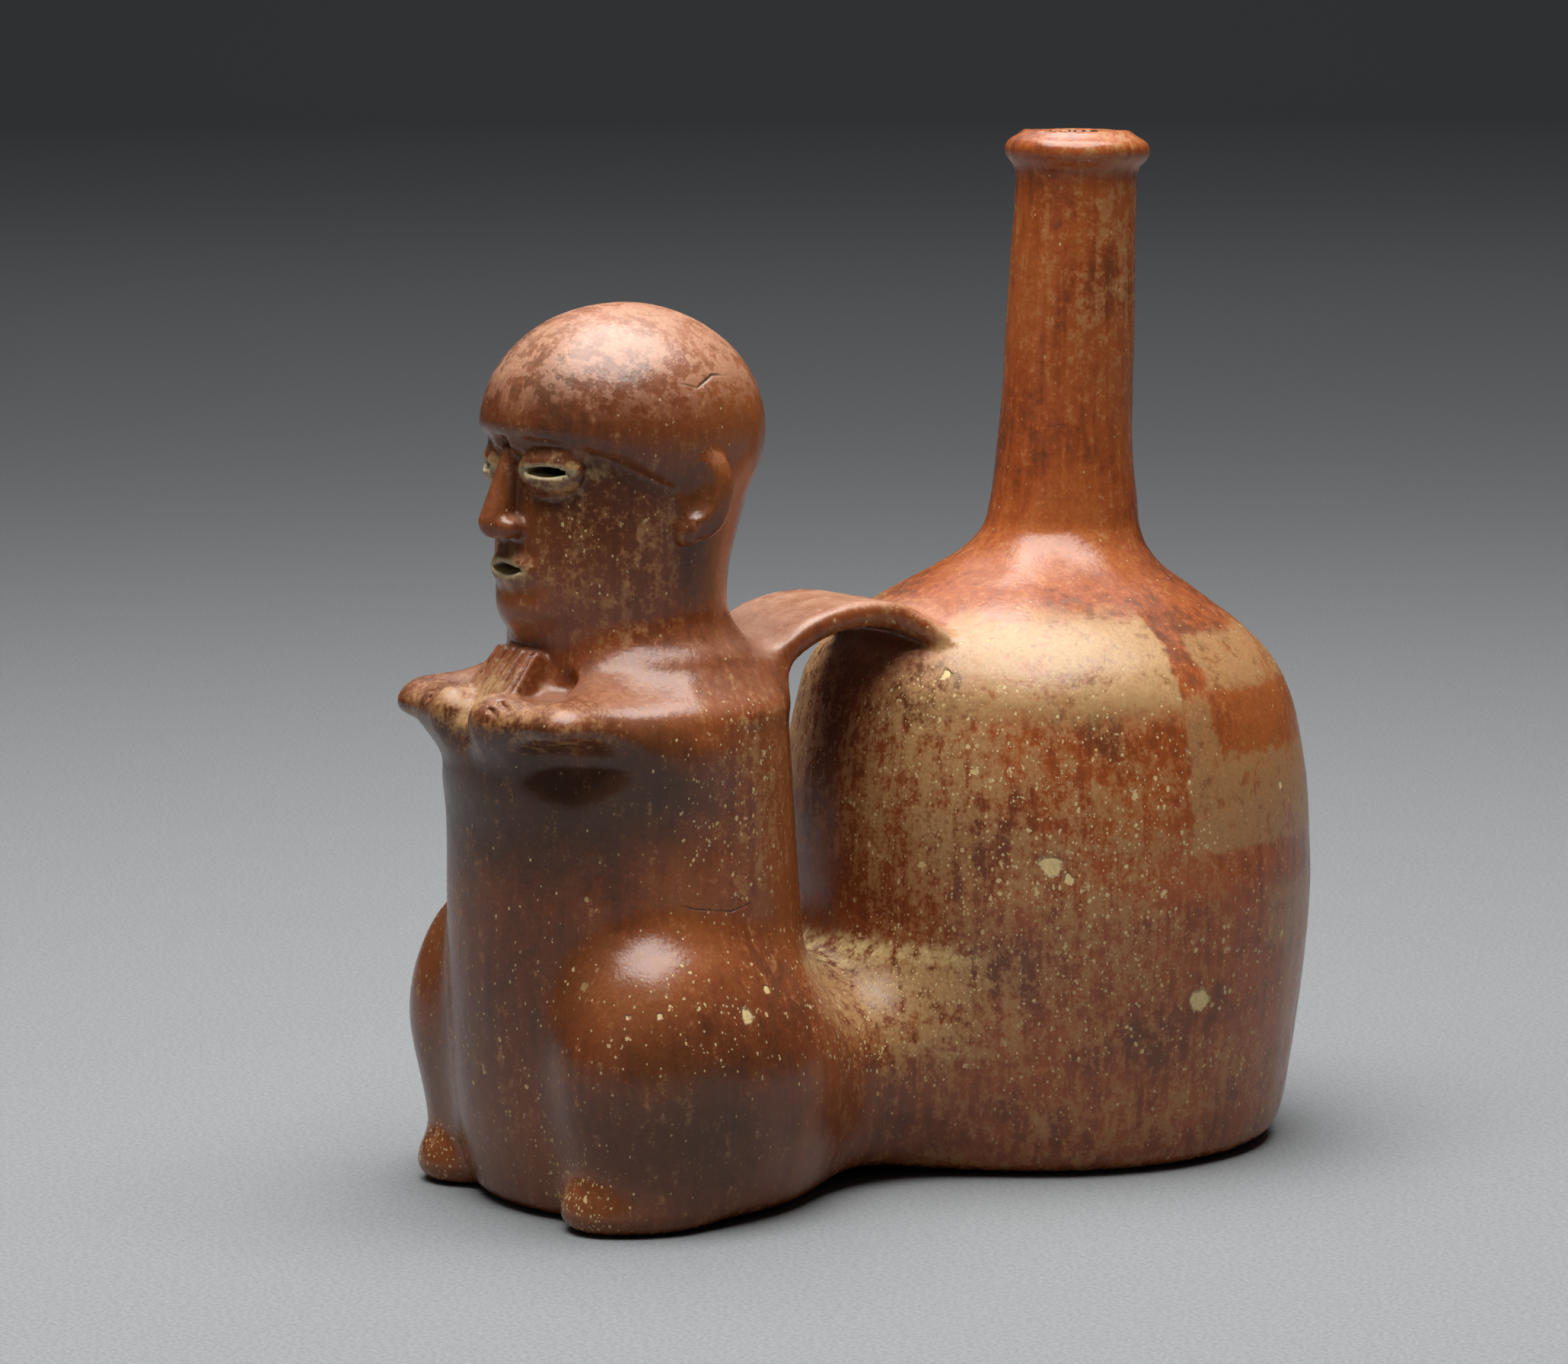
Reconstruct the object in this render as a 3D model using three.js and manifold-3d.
// Double-chambered ceramic bottle: a seated figure playing panpipes, joined by a low passage
// and a strap handle to a round bottle with a tall spout. All sizes are in millimetres.
// The figure faces -Y, its left hand is toward +X, +Z is up and the vessel stands on z = 0.
// The clay is described by one smooth distance-like field, negative inside, which is meshed
// for the outer surface and again, further in, for the hollow.

import * as THREE from 'three';
import { mergeVertices } from 'three/addons/utils/BufferGeometryUtils.js';
import Module from 'manifold-3d';

const wasm = await Module();
wasm.setup();

// Axes of the two chambers
const FIGURE_Y = -56;
const BOTTLE_Y = 46;
const BOTTLE_FRONT = -1;

// Wall and bore
const WALL = 5;
const FLOOR = 5.5;
const BASE_ROUNDING = 5;
const TOP_Z = 210;
const BORE_LOW = [0, 50.4, 112];
const BORE_HIGH = [0, 55.2, 222];
const BORE_LOW_RADIUS = 10.4;
const BORE_HIGH_RADIUS = 7.4;

// Sections from the ground up: height, half width, half depth, centre y
const BOTTLE_SECTIONS = [
  [0, 46.5, 46.5, 46],
  [8, 50, 50, 46],
  [25, 52.7, 52.7, 46],
  [45, 55, 55, 46],
  [60, 55.5, 55.5, 46],
  [75, 54.7, 54.7, 46],
  [85, 53.2, 53.2, 46],
  [92, 51.6, 51.6, 45.9],
  [99, 48.9, 48.9, 45.3],
  [107, 42, 42.2, 44.8],
  [115, 30.2, 31, 45.6],
  [119, 23.8, 24.3, 47],
  [123, 19.1, 19.3, 48.8],
  [127, 16.5, 16.5, 50.2],
  [132, 15.4, 15.4, 50.9],
  [138, 14.6, 14.6, 51.2],
  [145, 14, 14, 51.5],
  [155, 13.6, 13.6, 52.1],
  [165, 13.5, 13.5, 52.6],
  [185, 13, 13, 53.6],
  [195, 12.6, 12.6, 54.2],
  [201, 12.7, 12.7, 54.5],
  [204, 13.2, 13.2, 54.6],
  [208, 11, 11, 54.7],
  [212, 9.5, 9.5, 54.7],
];
const LIP_Y = 54.7;
const LIP_TOP_RADIUS = 10.2;
const LIP_TOP_Z = 207.5;
const LIP_TOP_ROUND = 2.5;
const LIP_EDGE_RADIUS = 12.3;
const LIP_EDGE_Z = 204.9;
const LIP_EDGE_ROUND = 2.7;

const BODY_SECTIONS = [
  [-4, 35, 31, FIGURE_Y + 3],
  [12, 37, 34, FIGURE_Y + 1.5],
  [35, 36, 35, FIGURE_Y],
  [60, 35.2, 34.4, FIGURE_Y - 1],
  [76, 34.8, 33.8, FIGURE_Y - 1.5],
  [88, 34.9, 33.9, FIGURE_Y - 2.2],
  [95, 34.5, 33.3, FIGURE_Y - 2],
  [99, 33.7, 31.4, FIGURE_Y - 0.2],
  [103, 30.8, 27.8, FIGURE_Y + 2],
  [107, 28, 25, FIGURE_Y + 2],
  [110, 25.4, 23, FIGURE_Y + 1.6],
  [113, 21.8, 20.6, FIGURE_Y + 0.8],
  [116, 18, 17.5, FIGURE_Y],
  [122, 14, 14, FIGURE_Y],
];
const BODY_TOP = 117;
const BODY_POWER = 2.1;

const HEAD_SECTIONS = [
  [98, 21, 20, FIGURE_Y + 0.5],
  [108, 20.8, 20.6, FIGURE_Y + 0.2],
  [113, 21, 21.6, FIGURE_Y - 1.4],
  [118, 21.5, 22.6, FIGURE_Y - 2.4],
  [124, 22, 23.4, FIGURE_Y - 2.8],
  [132, 22.8, 24.6, FIGURE_Y - 2],
  [140, 23.8, 25.8, FIGURE_Y - 0.8],
  [147, 24.7, 27, FIGURE_Y + 0.1],
  [154, 25.3, 27.4, FIGURE_Y + 0.5],
  [160, 24, 26, FIGURE_Y + 0.5],
  [168, 20, 22, FIGURE_Y],
];
const HEAD_TOP = 163;
const HEAD_BOTTOM = 100;

// Close-fitting cap of hair, cut along an edge that drops toward the ears
const CAP_Z = 153;
const CAP_HALF_WIDTH = 26.8;
const CAP_HALF_DEPTH = 28.9;
const CAP_HEIGHT = 24.7;
const CAP_EDGE_FRONT = 152.6;
const CAP_EDGE_DROP = 12.5;

// Plain face set out on even proportions between crown and chin
const CROWN_Z = CAP_Z + CAP_HEIGHT;
const CHIN_Z = 114.8;
const HEAD_HEIGHT = CROWN_Z - CHIN_Z;
const EYE_Z = CROWN_Z - 0.5 * HEAD_HEIGHT;
const BROW_Z = EYE_Z + 0.07 * HEAD_HEIGHT;
const NOSE_Z = 0.5 * (BROW_Z + CHIN_Z);
const MOUTH_Z = NOSE_Z - (NOSE_Z - CHIN_Z) / 3;
const EAR_Z = 0.5 * (BROW_Z + NOSE_Z);
const EYE_X = 10.4;
const EYE_TURN = 0.42;
const EYE_FORWARD = 23.6;
const MOUTH_FORWARD = 24.6;
const EYE_SLIT = [5.6, 1.05];
const MOUTH_SLIT = [5.8, 1.25];
const SLIT_DEPTH = 9;

// Low passage between the chambers
const PASSAGE_HEIGHT = 21.5;
const PASSAGE_Z = 21;
const PASSAGE_WIDTH = 29;
const PASSAGE_POWER = 2.6;
const PASSAGE_MIDDLE = FIGURE_Y + 52;
const PASSAGE_HALF_LENGTH = 52;
const PASSAGE_END_ROUNDING = 12;

// Strap handle from the nape to the shoulder of the bottle: y and z of its middle line
const STRAP_LINE = [
  [-42, 93],
  [-36, 99],
  [-30, 105],
  [-23, 110.4],
  [-15, 113.4],
  [-7, 114.2],
  [2, 113],
  [10, 109.8],
  [18, 105],
  [25, 100],
];
const STRAP_HALF_THICKNESS = 2.7;
const STRAP_HALF_WIDTH = 15.4;
const STRAP_FLARE = 2.5;
const STRAP_EDGE = 2.4;

// Panpipes held under the chin
const PIPES_LOW = [FIGURE_Y - 38.4, 97];
const PIPES_HIGH = [FIGURE_Y - 25.5, 112.5];
const PIPES_HALF_WIDTH = 10;
const PIPES_TAPER = 2.2;
const PIPES_HALF_DEPTH = 3.2;
const PIPES_SINK = 2.6;
const PIPES_ROUND = 1.2;

function smoothMin(a, b, reach) {
  const share = Math.min(1, Math.max(0, 0.5 + 0.5 * (b - a) / reach));
  return b * (1 - share) + a * share - reach * share * (1 - share);
}

function smoothMax(a, b, reach) {
  return -smoothMin(-a, -b, reach);
}

function clamp(value, low, high) {
  return Math.min(high, Math.max(low, value));
}

// Upright column through named sections, with a smooth curve between them
class Column {
  constructor(sections, power = 2) {
    this.sections = sections;
    this.power = power;
    this.rates = sections.map((row, i) => this.rateAt(i));
  }

  rateAt(i) {
    const rows = this.sections;
    const before = rows[Math.max(0, i - 1)];
    const here = rows[i];
    const after = rows[Math.min(rows.length - 1, i + 1)];
    const down = here[0] - before[0];
    const up = after[0] - here[0];
    return [1, 2, 3].map((k) => {
      const below = down > 0 ? (here[k] - before[k]) / down : 0;
      const above = up > 0 ? (after[k] - here[k]) / up : 0;
      if (down === 0) {
        return above;
      }
      if (up === 0) {
        return below;
      }
      return (below * up + above * down) / (up + down);
    });
  }

  at(z) {
    const rows = this.sections;
    const height = clamp(z, rows[0][0], rows[rows.length - 1][0]);
    let i = 0;
    while (i < rows.length - 2 && height > rows[i + 1][0]) {
      i += 1;
    }
    const span = rows[i + 1][0] - rows[i][0];
    const t = (height - rows[i][0]) / span;
    const size = [];
    const slope = [];
    for (let k = 1; k < 4; k += 1) {
      const p = rows[i][k];
      const q = rows[i + 1][k];
      const m = this.rates[i][k - 1] * span;
      const n = this.rates[i + 1][k - 1] * span;
      const a = 2 * p - 2 * q + m + n;
      const b = 3 * q - 3 * p - 2 * m - n;
      size.push(((a * t + b) * t + m) * t + p);
      slope.push(((3 * a * t + 2 * b) * t + m) / span);
    }
    return { size, slope };
  }

  distance(x, y, z) {
    const { size, slope } = this.at(z);
    const [halfWidth, halfDepth, centre] = size;
    const v = y - centre;
    const r = Math.hypot(x, v) + 1e-6;
    const across = Math.abs(x) / halfWidth;
    const along = Math.abs(v) / halfDepth;
    const reach = (across ** this.power + along ** this.power) ** (1 / this.power) + 1e-9;
    const edge = r / reach;
    const w = (v / r) ** 2;
    const lean = slope[0] * (1 - w) * edge / halfWidth + slope[1] * w * edge / halfDepth + slope[2] * v / r;
    return (r - edge) / Math.sqrt(1 + lean * lean);
  }
}

function ellipsoid(x, y, z, centre, radii, tilt = 0, turn = 0) {
  let u = x - centre[0];
  let v = y - centre[1];
  let w = z - centre[2];
  if (tilt !== 0) {
    const forward = Math.cos(tilt) * v + Math.sin(tilt) * w;
    w = -Math.sin(tilt) * v + Math.cos(tilt) * w;
    v = forward;
  }
  if (turn !== 0) {
    const sideways = Math.cos(turn) * u + Math.sin(turn) * v;
    v = -Math.sin(turn) * u + Math.cos(turn) * v;
    u = sideways;
  }
  const near = Math.hypot(u / radii[0], v / radii[1], w / radii[2]) + 1e-9;
  const pull = Math.hypot(u / radii[0] ** 2, v / radii[1] ** 2, w / radii[2] ** 2) + 1e-9;
  return near * (near - 1) / pull;
}

// Rounded limb between two points, its radius changing along it
function limb(x, y, z, start, end, startRadius, endRadius) {
  const dx = end[0] - start[0];
  const dy = end[1] - start[1];
  const dz = end[2] - start[2];
  const along = ((x - start[0]) * dx + (y - start[1]) * dy + (z - start[2]) * dz) / (dx * dx + dy * dy + dz * dz);
  const h = clamp(along, 0, 1);
  const gap = Math.hypot(x - start[0] - h * dx, y - start[1] - h * dy, z - start[2] - h * dz);
  return gap - (startRadius + (endRadius - startRadius) * h);
}

// Corner cutting turns the handle's marked line into a smooth curve
function roundedLine(points, passes) {
  let line = points;
  for (let pass = 0; pass < passes; pass += 1) {
    const next = [line[0]];
    for (let i = 0; i < line.length - 1; i += 1) {
      const [a, b] = [line[i], line[i + 1]];
      next.push([0.75 * a[0] + 0.25 * b[0], 0.75 * a[1] + 0.25 * b[1]]);
      next.push([0.25 * a[0] + 0.75 * b[0], 0.25 * a[1] + 0.75 * b[1]]);
    }
    next.push(line[line.length - 1]);
    line = next;
  }
  return line;
}

const bottle = new Column(BOTTLE_SECTIONS);
const body = new Column(BODY_SECTIONS, BODY_POWER);
const head = new Column(HEAD_SECTIONS);

function bottleClay(x, y, z) {
  const wall = Math.max(bottle.distance(x, y, z), z - TOP_Z + 0.1);
  const r = Math.hypot(x, y - LIP_Y);
  const lip = limb(r, 0, z, [LIP_TOP_RADIUS, 0, LIP_TOP_Z], [LIP_EDGE_RADIUS, 0, LIP_EDGE_Z],
    LIP_TOP_ROUND, LIP_EDGE_ROUND);
  return smoothMin(wall, lip, 1.5);
}

function passageClay(x, y, z, inset = 0) {
  const m = clamp((y - PASSAGE_MIDDLE) / PASSAGE_HALF_LENGTH, -1, 1);
  const halfWidth = PASSAGE_WIDTH + (m < 0 ? 9 : 5) * m * m - inset;
  const halfHeight = PASSAGE_HEIGHT - inset;
  const across = Math.abs(x) / halfWidth;
  const up = Math.abs(z - PASSAGE_Z) / halfHeight;
  const reach = (across ** PASSAGE_POWER + up ** PASSAGE_POWER) ** (1 / PASSAGE_POWER) + 1e-6;
  return smoothMax((reach - 1) * halfHeight, Math.max(FIGURE_Y - y, y - BOTTLE_Y), PASSAGE_END_ROUNDING);
}

// Torso with bent legs drawn up at its sides and small feet in front
function seatedClay(x, y, z) {
  const side = Math.abs(x);
  const torso = smoothMax(body.distance(x, y, z), z - BODY_TOP, 3);
  const level = z + 0.05 * x;
  const shin = limb(side, y, level, [28.4, FIGURE_Y - 13.5, 6], [28.4, FIGURE_Y - 13.2, 29], 14.4, 15.7);
  const knee = ellipsoid(side, y, level, [28.2, FIGURE_Y - 12.4, 37], [17, 17.6, 22]);
  const thigh = ellipsoid(side, y, level, [25, FIGURE_Y + 2, 29], [19.5, 27, 30]);
  const foot = ellipsoid(side, y, z, [28.4, FIGURE_Y - 17.8, 3], [12.2, 13.6, 12]);
  const leg = smoothMin(smoothMin(shin, knee, 9), thigh, 11);
  return smoothMin(smoothMin(torso, leg, 7), foot, 4);
}

function headClay(x, y, z) {
  const skull = smoothMax(smoothMax(head.distance(x, y, z), z - HEAD_TOP, 4), HEAD_BOTTOM - z, 2);
  const dome = ellipsoid(x, y, z, [0, FIGURE_Y, CAP_Z], [CAP_HALF_WIDTH, CAP_HALF_DEPTH, CAP_HEIGHT]);
  const back = clamp((y - FIGURE_Y + 29) / 29, 0, 1.6);
  const edge = CAP_EDGE_FRONT - CAP_EDGE_DROP * back ** 1.7;
  return smoothMin(skull, smoothMax(dome, (edge - z) * 0.85, 4.5), 1.2);
}

function noseClay(x, y, z) {
  const side = Math.abs(x);
  const bridge = [0, FIGURE_Y - 25.6, BROW_Z - 2];
  const tip = [0, FIGURE_Y - 29.2, NOSE_Z + 3.2];
  const ridge = limb(x, y, z, bridge, tip, 1.8, 3.3);
  const wing = ellipsoid(side, y, z, [3.1, FIGURE_Y - 27.4, NOSE_Z + 2.2], [2.4, 3, 2.3]);
  return smoothMax(smoothMin(ridge, wing, 1.5), NOSE_Z - z - 0.2 * (FIGURE_Y - 27 - y), 1.2);
}

function earClay(x, y, z) {
  const side = Math.abs(x);
  const rim = ellipsoid(side, y, z, [24.2, FIGURE_Y + 3, EAR_Z], [3.3, 5.2, 8.8], -0.12, -0.35);
  const bowl = ellipsoid(side, y, z, [26.9, FIGURE_Y + 0.8, EAR_Z + 1], [2.4, 2.9, 5.6], -0.12, -0.35);
  const lobe = ellipsoid(side, y, z, [24, FIGURE_Y - 0.2, NOSE_Z + 1.6], [2.6, 2.6, 2.9]);
  return smoothMin(smoothMax(rim, -bowl, 0.8), lobe, 1);
}

function addFace(skin, x, y, z) {
  const side = Math.abs(x);
  const brow = limb(side, y, z, [3, FIGURE_Y - 25.4, BROW_Z + 0.6], [15.5, FIGURE_Y - 20, BROW_Z - 1], 1.6, 1.4);
  const lid = ellipsoid(side, y, z, [EYE_X, FIGURE_Y - EYE_FORWARD, EYE_Z], [7.6, 3.3, 4.6], 0, EYE_TURN);
  const chin = ellipsoid(x, y, z, [0, FIGURE_Y - 20.5, CHIN_Z + 4.5], [8.5, 6, 5]);
  const lips = ellipsoid(x, y, z, [0, FIGURE_Y - MOUTH_FORWARD, MOUTH_Z], [8, 3.6, 4]);
  let clay = smoothMin(skin, brow, 2.2);
  clay = smoothMin(clay, noseClay(x, y, z), 1.6);
  clay = smoothMin(clay, lid, 1.2);
  clay = smoothMin(clay, chin, 4);
  clay = smoothMin(clay, lips, 1.6);
  return smoothMin(clay, earClay(x, y, z), 1);
}

// Forearms come forward from broad shoulders and meet at the pipes
function armsClay(x, y, z) {
  const side = Math.abs(x);
  const elbow = [23.5, FIGURE_Y - 6, 92];
  const wrist = [26.6, FIGURE_Y - 30.2, 96.6];
  const fingers = [8, FIGURE_Y - 34.5, 98.3];
  const forearm = limb(side, y, z, wrist, elbow, 5.4, 12.2);
  const hand = limb(side, y, z, wrist, fingers, 5.4, 5.2);
  const shoulder = limb(side, y, z, [24, FIGURE_Y - 24, 97.5], [15, FIGURE_Y - 8, 101], 6, 8);
  return smoothMin(smoothMin(forearm, shoulder, 4), hand, 4);
}

function pipesClay(x, y, z) {
  const dy = PIPES_HIGH[0] - PIPES_LOW[0];
  const dz = PIPES_HIGH[1] - PIPES_LOW[1];
  const length = Math.hypot(dy, dz);
  const along = ((y - PIPES_LOW[0]) * dy + (z - PIPES_LOW[1]) * dz) / length;
  const outward = ((z - PIPES_LOW[1]) * dy - (y - PIPES_LOW[0]) * dz) / length;
  const halfWidth = PIPES_HALF_WIDTH - PIPES_TAPER * clamp(along / length, 0, 1);
  const a = Math.abs(x) - halfWidth + PIPES_ROUND;
  const b = Math.abs(outward + PIPES_SINK) - PIPES_HALF_DEPTH + PIPES_ROUND;
  const c = Math.abs(along - length / 2) - length / 2 + PIPES_ROUND;
  const outside = Math.hypot(Math.max(a, 0), Math.max(b, 0), Math.max(c, 0));
  return outside + Math.min(Math.max(a, b, c), 0) - PIPES_ROUND;
}

function vesselClay(x, y, z) {
  let figure = smoothMin(seatedClay(x, y, z), headClay(x, y, z), 5);
  figure = addFace(figure, x, y, z);
  figure = smoothMin(figure, armsClay(x, y, z), 6);
  figure = smoothMin(figure, pipesClay(x, y, z), 1.5);
  let clay = smoothMin(bottleClay(x, y, z), passageClay(x, y, z), 14);
  clay = smoothMin(clay, figure, 12);
  return smoothMax(clay, -z, BASE_ROUNDING);
}

// The hollow runs from the head down the torso, through the passage, up the bottle and out at the lip
function vesselHollow(x, y, z) {
  const chamber = smoothMax(bottle.distance(x, y, z) + WALL, z - 132, 3);
  const bore = limb(x, y, z, BORE_LOW, BORE_HIGH, BORE_LOW_RADIUS, BORE_HIGH_RADIUS);
  const passage = passageClay(x, y, z, 6.5);
  const torso = smoothMax(body.distance(x, y, z) + WALL + 1, z - 112, 3);
  const neck = limb(x, y, z, [0, FIGURE_Y - 1, 100], [0, FIGURE_Y - 1, 120], 15, 16);
  const skull = smoothMax(head.distance(x, y, z) + WALL, Math.max(z - 160, 108 - z), 3);
  const dome = ellipsoid(x, y, z, [0, FIGURE_Y, CAP_Z - 1],
    [CAP_HALF_WIDTH - WALL - 1, CAP_HALF_DEPTH - WALL - 1, CAP_HEIGHT - WALL + 1]);
  let hollow = smoothMin(chamber, bore, 3);
  hollow = smoothMin(hollow, passage, 5);
  hollow = smoothMin(hollow, smoothMin(torso, neck, 4), 4);
  hollow = smoothMin(hollow, smoothMin(skull, dome, 3), 3);
  return smoothMax(hollow, FLOOR - z, 4);
}

// Grid lines between marked places, each stretch with its own spacing
function gridLines(start, stretches) {
  const lines = [start];
  let from = start;
  for (const [to, spacing] of stretches) {
    const count = Math.max(1, Math.round((to - from) / spacing));
    for (let i = 1; i <= count; i += 1) {
      lines.push(from + (to - from) * i / count);
    }
    from = to;
  }
  return lines;
}

// Closed mesh of the field's zero surface: one vertex for each grid cell it crosses
function fieldMesh(field, xs, ys, zs) {
  const [nx, ny, nz] = [xs.length, ys.length, zs.length];
  const at = (i, j, k) => (i * ny + j) * nz + k;
  const values = new Float64Array(nx * ny * nz);
  for (let i = 0; i < nx; i += 1) {
    for (let j = 0; j < ny; j += 1) {
      for (let k = 0; k < nz; k += 1) {
        values[at(i, j, k)] = field(xs[i], ys[j], zs[k]);
      }
    }
  }
  const steps = [[1, 0, 0], [0, 1, 0], [0, 0, 1]];
  const cells = new Map();
  const faces = [];
  const note = (i, j, k, point) => {
    const key = at(i, j, k);
    const cell = cells.get(key) ?? { sum: [0, 0, 0], count: 0 };
    point.forEach((value, axis) => {
      cell.sum[axis] += value;
    });
    cell.count += 1;
    cells.set(key, cell);
    return key;
  };
  for (let i = 0; i < nx - 1; i += 1) {
    for (let j = 0; j < ny - 1; j += 1) {
      for (let k = 0; k < nz - 1; k += 1) {
        const here = values[at(i, j, k)];
        steps.forEach(([di, dj, dk], axis) => {
          const there = values[at(i + di, j + dj, k + dk)];
          if ((here < 0) === (there < 0)) {
            return;
          }
          const share = here / (here - there);
          const point = [
            xs[i] + di * share * (xs[i + di] - xs[i]),
            ys[j] + dj * share * (ys[j + dj] - ys[j]),
            zs[k] + dk * share * (zs[k + dk] - zs[k]),
          ];
          const [ui, uj, uk] = steps[(axis + 1) % 3];
          const [vi, vj, vk] = steps[(axis + 2) % 3];
          const ring = [
            note(i, j, k, point),
            note(i - ui, j - uj, k - uk, point),
            note(i - ui - vi, j - uj - vj, k - uk - vk, point),
            note(i - vi, j - vj, k - vk, point),
          ];
          faces.push(here < 0 ? ring : ring.reverse());
        });
      }
    }
  }
  const index = new Map();
  const points = [];
  for (const [key, cell] of cells) {
    index.set(key, points.length);
    points.push(settle(field, cell.sum.map((value) => value / cell.count)));
  }
  const quads = faces.map((ring) => ring.map((key) => index.get(key)));
  return { points, triangles: splitQuads(points, quads) };
}

// Each quad is cut along its shorter diagonal, unless two points are joined that way already
function splitQuads(points, quads) {
  const edgeName = (a, b) => (a < b ? `${a} ${b}` : `${b} ${a}`);
  const joined = new Set();
  for (const quad of quads) {
    quad.forEach((a, i) => joined.add(edgeName(a, quad[(i + 1) % 4])));
  }
  const triangles = [];
  for (const [a, b, c, d] of quads) {
    const shorter = span(points[a], points[c]) <= span(points[b], points[d]);
    const first = edgeName(a, c);
    const second = edgeName(b, d);
    const useFirst = joined.has(second) || (shorter && !joined.has(first));
    joined.add(useFirst ? first : second);
    if (useFirst) {
      triangles.push(a, b, c, a, c, d);
    } else {
      triangles.push(a, b, d, b, c, d);
    }
  }
  return triangles;
}

function span(a, b) {
  return Math.hypot(a[0] - b[0], a[1] - b[1], a[2] - b[2]);
}

// Moves a point a little way along the field's slope until it lies on the surface
function settle(field, start) {
  const step = 0.05;
  const limit = 1.5;
  let point = start;
  for (let pass = 0; pass < 3; pass += 1) {
    const value = field(...point);
    const slope = [0, 1, 2].map((axis) => {
      const beside = [...point];
      beside[axis] += step;
      return (field(...beside) - value) / step;
    });
    const steepness = Math.max(0.3, slope[0] ** 2 + slope[1] ** 2 + slope[2] ** 2);
    const move = slope.map((part) => -value * part / steepness);
    const length = Math.hypot(...move);
    const share = length > limit ? limit / length : 1;
    point = point.map((part, axis) => part + move[axis] * share);
  }
  return point;
}

function solidFromMesh({ points, triangles }) {
  const mesh = new wasm.Mesh({
    numProp: 3,
    vertProperties: new Float32Array(points.flat()),
    triVerts: new Uint32Array(triangles),
  });
  return new wasm.Manifold(mesh);
}

function solidFromGeometry(geometry) {
  const bare = geometry.clone();
  bare.deleteAttribute('normal');
  bare.deleteAttribute('uv');
  const welded = mergeVertices(bare, 1e-4);
  return new wasm.Manifold(new wasm.Mesh({
    numProp: 3,
    vertProperties: new Float32Array(welded.attributes.position.array),
    triVerts: new Uint32Array(welded.index.array),
  }));
}

// Pointed almond opening pierced straight through the wall
function slitSolid([halfWidth, halfHeight], centre, turn) {
  const shape = new THREE.Shape();
  shape.moveTo(-halfWidth, 0);
  shape.quadraticCurveTo(0, 2 * halfHeight, halfWidth, 0);
  shape.quadraticCurveTo(0, -2 * halfHeight, -halfWidth, 0);
  const geometry = new THREE.ExtrudeGeometry(shape, { depth: 2 * SLIT_DEPTH, bevelEnabled: false, curveSegments: 5 });
  geometry.translate(0, 0, -SLIT_DEPTH);
  geometry.rotateX(Math.PI / 2);
  geometry.rotateZ(turn);
  geometry.translate(...centre);
  return solidFromGeometry(geometry);
}

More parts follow.
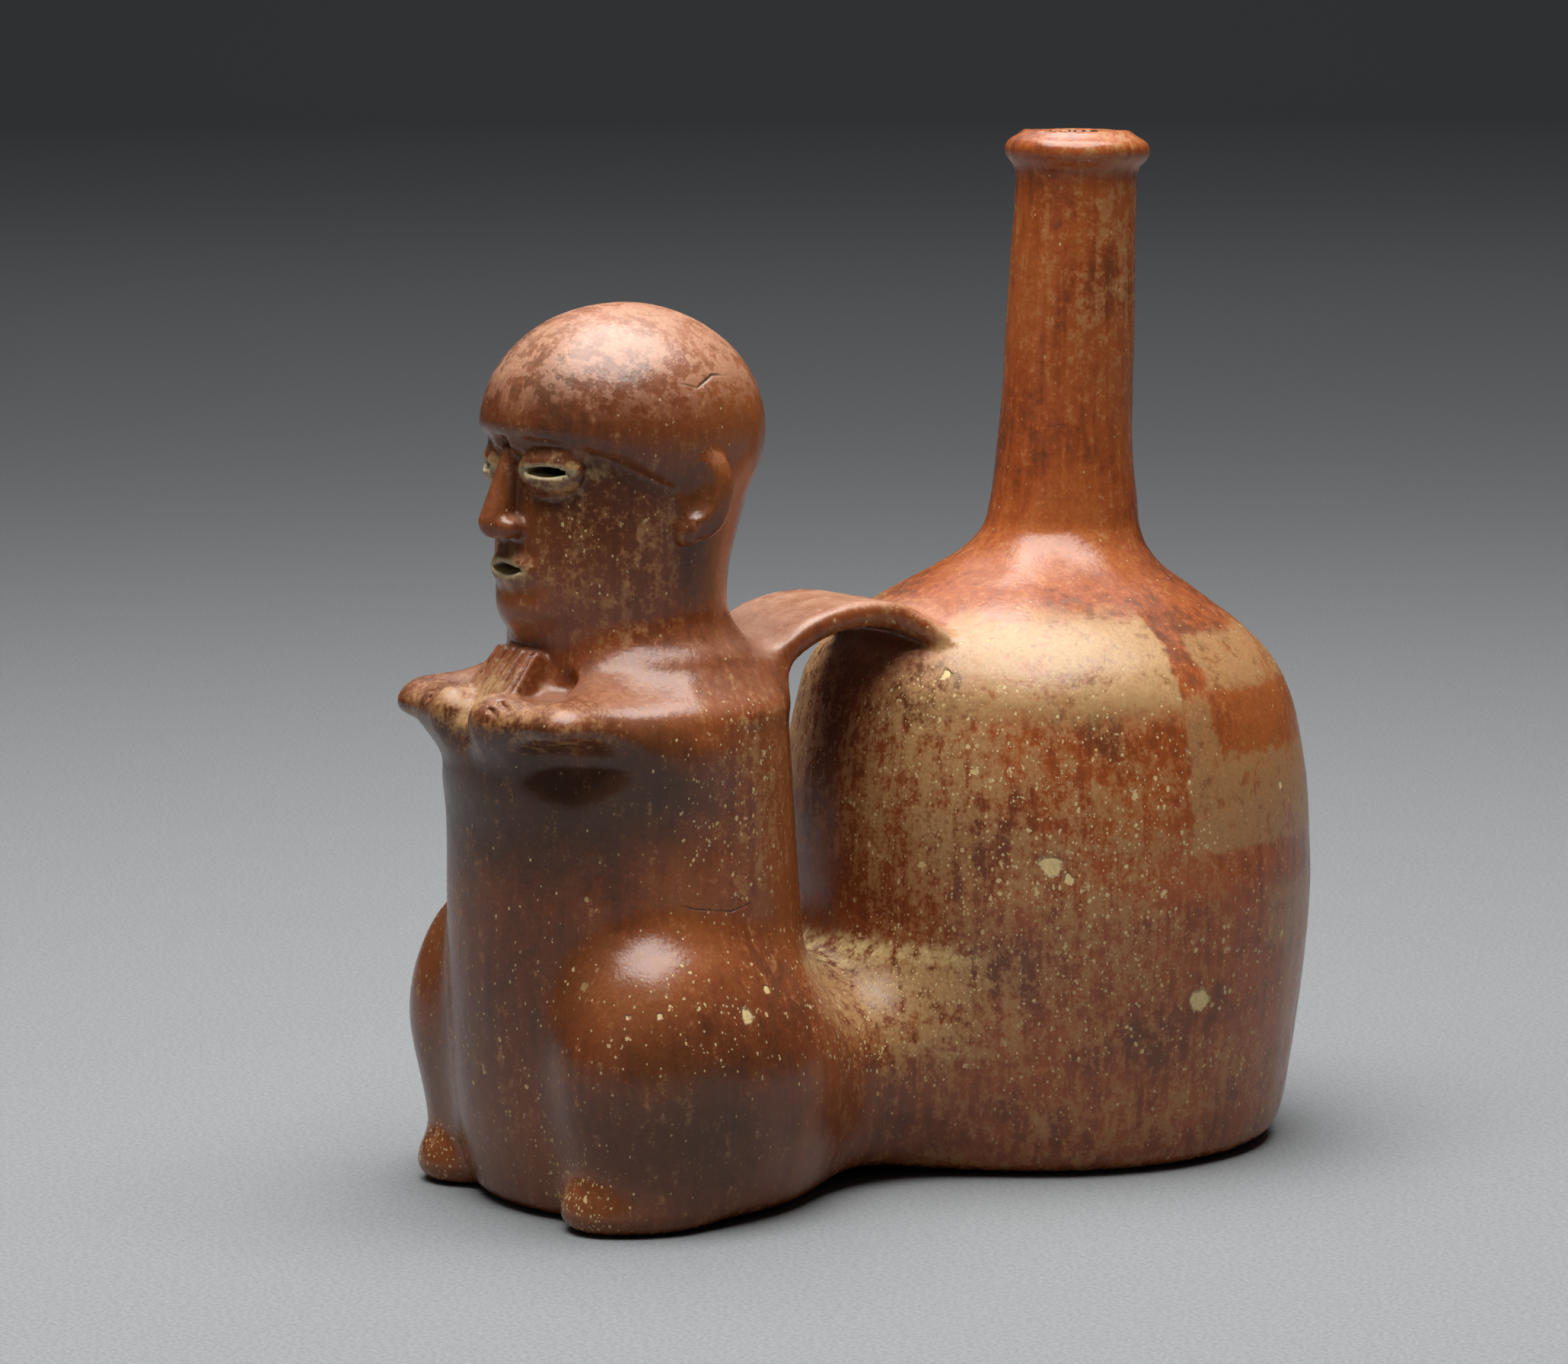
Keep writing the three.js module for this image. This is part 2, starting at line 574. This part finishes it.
// Flat strap with softened edges, swept along its curved middle line
function strapSolid() {
  const line = roundedLine(STRAP_LINE, 1);
  const points = [];
  line.forEach(([y, z], i) => {
    const before = line[Math.max(0, i - 1)];
    const after = line[Math.min(line.length - 1, i + 1)];
    const length = Math.hypot(after[0] - before[0], after[1] - before[1]);
    const up = [-(after[1] - before[1]) / length, (after[0] - before[0]) / length];
    const wide = STRAP_HALF_WIDTH + STRAP_FLARE * clamp((y - 5) / 20, 0, 1);
    const inner = wide - STRAP_EDGE;
    const thick = STRAP_HALF_THICKNESS;
    const edge = 0.45 * thick;
    const section = [
      [wide, -edge], [wide, edge], [inner, thick], [-inner, thick],
      [-wide, edge], [-wide, -edge], [-inner, -thick], [inner, -thick],
    ];
    section.forEach(([x, rise]) => points.push([x, y + up[0] * rise, z + up[1] * rise]));
  });
  const around = 8;
  const triangles = [];
  for (let i = 0; i < line.length - 1; i += 1) {
    for (let k = 0; k < around; k += 1) {
      const a = i * around + k;
      const b = i * around + (k + 1) % around;
      triangles.push(a, b + around, b, a, a + around, b + around);
    }
  }
  const last = (line.length - 1) * around;
  for (let k = 1; k < around - 1; k += 1) {
    triangles.push(0, k, k + 1, last, last + k + 1, last + k);
  }
  return solidFromMesh({ points, triangles });
}

function outerSolid() {
  const xs = gridLines(-62, [[-32, 8], [32, 4.3], [62, 8]]);
  const ys = gridLines(-104, [[-70, 4], [-24, 6], [108, 9.5]]);
  const zs = gridLines(-7, [[90, 9.2], [154, 4], [198, 9], [214, 2.7]]);
  return solidFromMesh(fieldMesh(vesselClay, xs, ys, zs));
}

function hollowSolid() {
  const xs = gridLines(-60, [[-15, 11], [15, 6], [60, 11]]);
  const ys = gridLines(-100, [[-22, 9.5], [38, 11], [68, 6], [108, 10]]);
  const zs = gridLines(-2, [[112, 10.5], [222, 11]]);
  return solidFromMesh(fieldMesh((x, y, z) => Math.max(vesselHollow(x, y, z), z - 214), xs, ys, zs));
}

function vesselSolid() {
  let solid = outerSolid().add(strapSolid()).subtract(hollowSolid());
  for (const side of [-1, 1]) {
    const eye = [side * EYE_X, FIGURE_Y - EYE_FORWARD, EYE_Z];
    solid = solid.subtract(slitSolid(EYE_SLIT, eye, side * EYE_TURN));
  }
  return solid.subtract(slitSolid(MOUTH_SLIT, [0, FIGURE_Y - MOUTH_FORWARD, MOUTH_Z], 0));
}

// Stands the vessel on z = 0 with the middle of its plan box on the origin
function centred(solid) {
  const { min, max } = solid.boundingBox();
  return solid.translate([-(min[0] + max[0]) / 2, -(min[1] + max[1]) / 2, -min[2]]);
}

function geometryFromSolid(solid) {
  const mesh = solid.getMesh();
  const geometry = new THREE.BufferGeometry();
  geometry.setAttribute('position', new THREE.BufferAttribute(new Float32Array(mesh.vertProperties), 3));
  geometry.setIndex(new THREE.BufferAttribute(new Uint32Array(mesh.triVerts), 1));
  geometry.computeVertexNormals();
  return geometry;
}

function slippedClay() {
  return new THREE.MeshStandardMaterial({ name: 'burnished red slip', color: 0x8a4227, roughness: 0.42, metalness: 0 });
}

const group = new THREE.Group();
group.name = 'effigy_bottle';
const vessel = new THREE.Mesh(geometryFromSolid(centred(vesselSolid())), slippedClay());
vessel.name = 'vessel';
group.add(vessel);

export default group;
